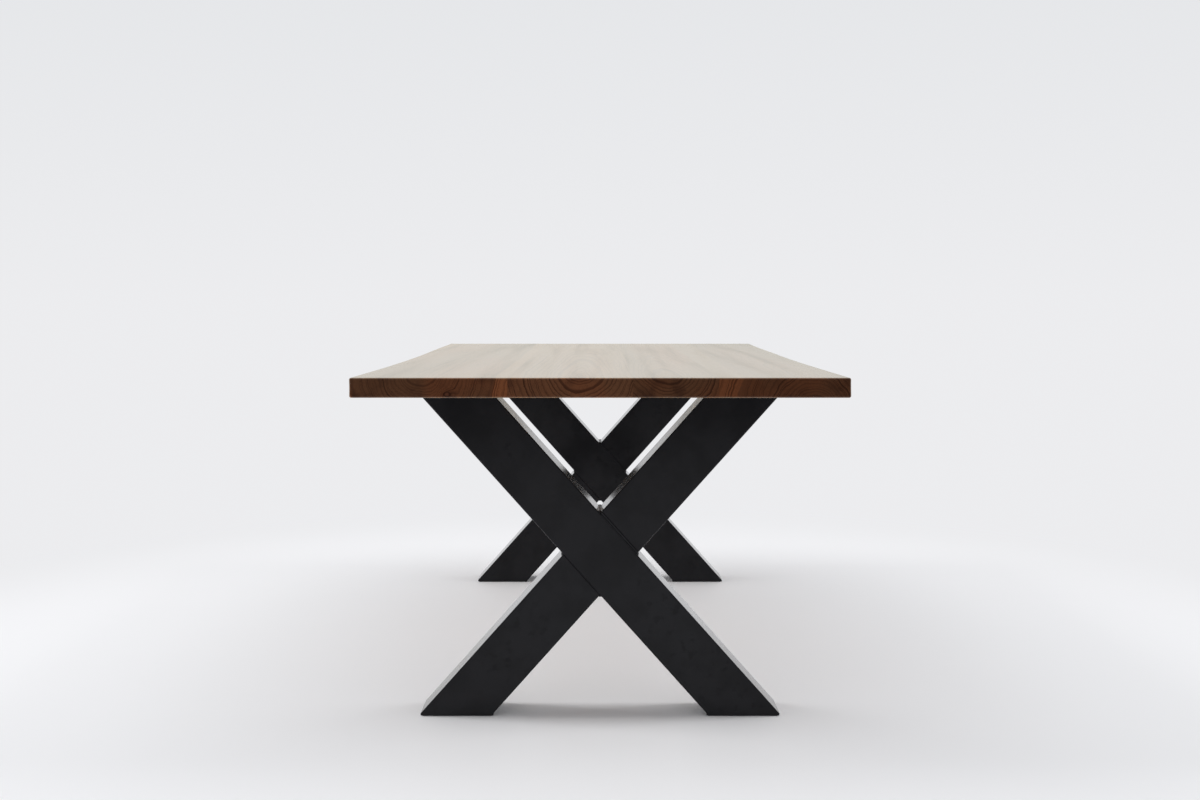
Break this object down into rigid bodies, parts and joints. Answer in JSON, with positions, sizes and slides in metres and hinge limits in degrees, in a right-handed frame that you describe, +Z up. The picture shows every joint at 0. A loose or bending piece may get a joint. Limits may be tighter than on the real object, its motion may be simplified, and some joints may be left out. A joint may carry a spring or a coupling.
{
  "type": "sawbuck table",
  "caption": "Long dining table with a thick glued hardwood top and live long edges, bolted to welded X-shaped frames of square black steel tube near its ends.",
  "frame": {"origin": "on the floor, under the middle of the top", "axes": "+Z up, +Y along the table from the front end to the rear end, +X to the right seen from the front end"},
  "size_m": [1.0398, 2.4, 0.76],
  "materials": {
    "hardwood": "satin oil on walnut-brown hardwood",
    "black_steel": "satin black powder coat",
    "felt": "dense black felt",
    "black_bolts": "black oxide",
    "zinc_steel": "zinc plated",
    "brass_inserts": "plain brass"
  },
  "bodies": {
    "root": {"board_left": "hardwood", "board_centre_left": "hardwood", "board_centre_right": "hardwood", "board_right": "hardwood", "front_main_leg": "black_steel", "front_upper_leg": "black_steel", "front_lower_leg": "black_steel", "front_weld_beads": "black_steel", "front_top_plate": "black_steel", "front_left_foot_plate": "black_steel", "front_right_foot_plate": "black_steel", "front_left_glide": "felt", "front_right_glide": "felt", "front_bolts": "black_bolts", "front_washers": "zinc_steel", "front_threaded_inserts": "brass_inserts", "rear_main_leg": "black_steel", "rear_upper_leg": "black_steel", "rear_lower_leg": "black_steel", "rear_weld_beads": "black_steel", "rear_top_plate": "black_steel", "rear_left_foot_plate": "black_steel", "rear_right_foot_plate": "black_steel", "rear_left_glide": "felt", "rear_right_glide": "felt", "rear_bolts": "black_bolts", "rear_washers": "zinc_steel", "rear_threaded_inserts": "brass_inserts"}
  },
  "joints": []
}
